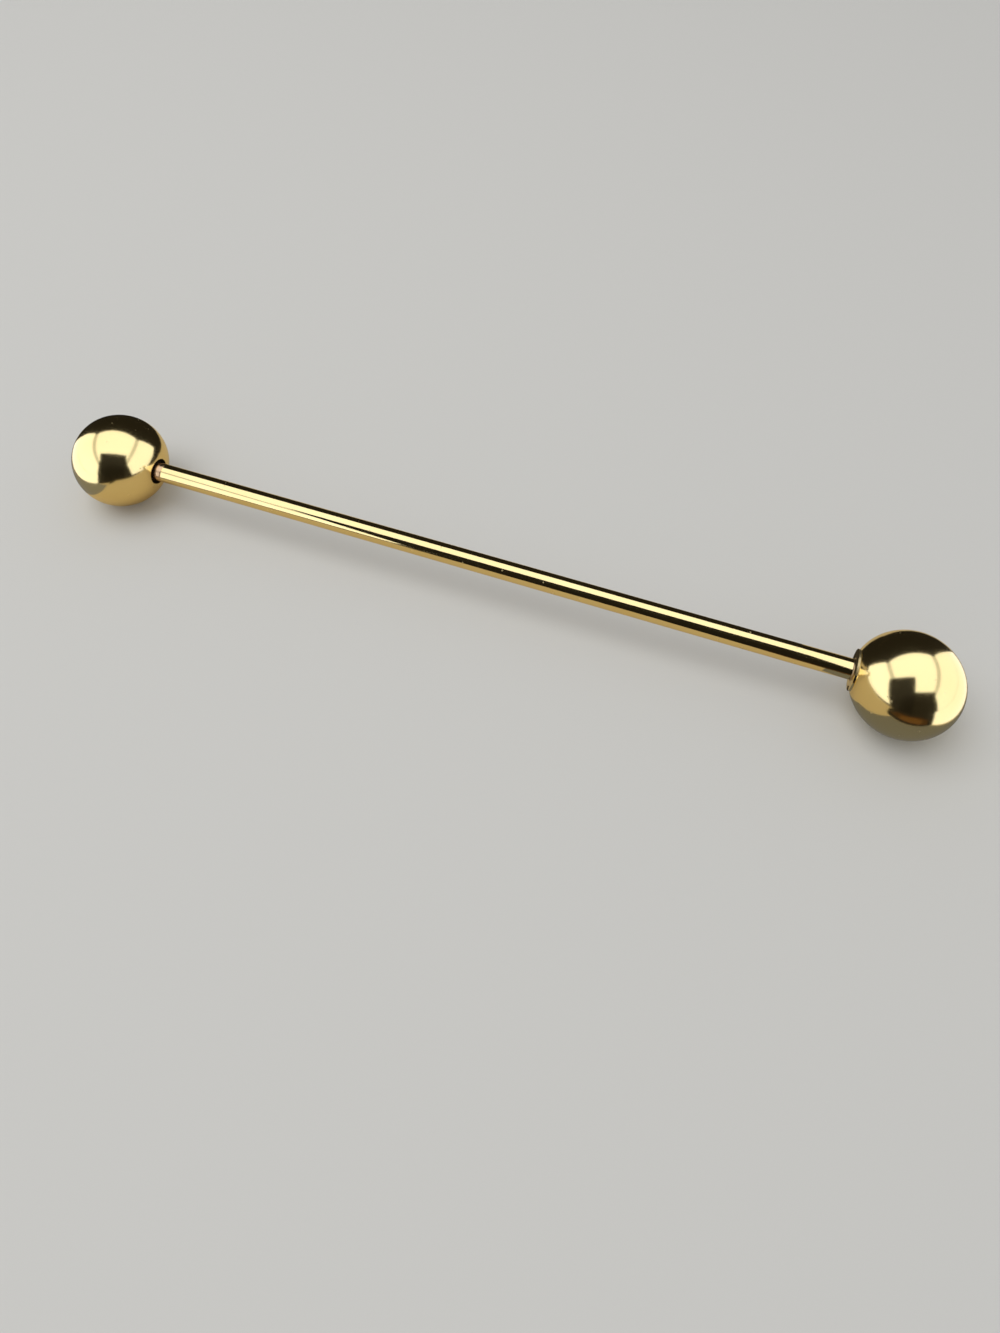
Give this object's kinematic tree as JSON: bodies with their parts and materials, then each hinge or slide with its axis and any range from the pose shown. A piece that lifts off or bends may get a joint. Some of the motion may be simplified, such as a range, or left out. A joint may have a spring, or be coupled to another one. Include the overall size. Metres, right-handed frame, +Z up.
{
  "type": "collar bar",
  "caption": "Slim straight round rod with a polished ball at each end; one ball is soldered on and the other unscrews so that the rod can pass through collar eyelets.",
  "frame": {"origin": "half way between the two ball centres, on the rod's axis", "axes": "+X along the rod towards the soldered ball, +Z up when the bar lies on its two balls"},
  "size_m": [0.056, 0.006, 0.006],
  "materials": {
    "polished_gold": "gold-plated brass, mirror polished",
    "raw_brass": "unplated turned brass, satin",
    "solder": "hard solder under the plating, slightly dull"
  },
  "bodies": {
    "bar": {"rod": "polished_gold", "fixed_ball": "polished_gold", "solder_joint": "solder"},
    "ring": {"spacer_ring": "raw_brass"},
    "end_ball": {"screw_ball": "polished_gold"}
  },
  "joints": [
    {"name": "ball_travel", "type": "slide", "parent": "bar", "child": "ring", "axis": [-1, 0, 0], "range_m": [0, 0.0027]},
    {"name": "ball_turn", "type": "hinge", "parent": "ring", "child": "end_ball", "pos_m": [-0.025, 0, 0], "axis": [-1, 0, 0], "range_deg": [0, 4320]}
  ],
  "couplings": [
    {"joint": "ball_turn", "follows": "ball_travel", "rad_per_m": 27925}
  ]
}
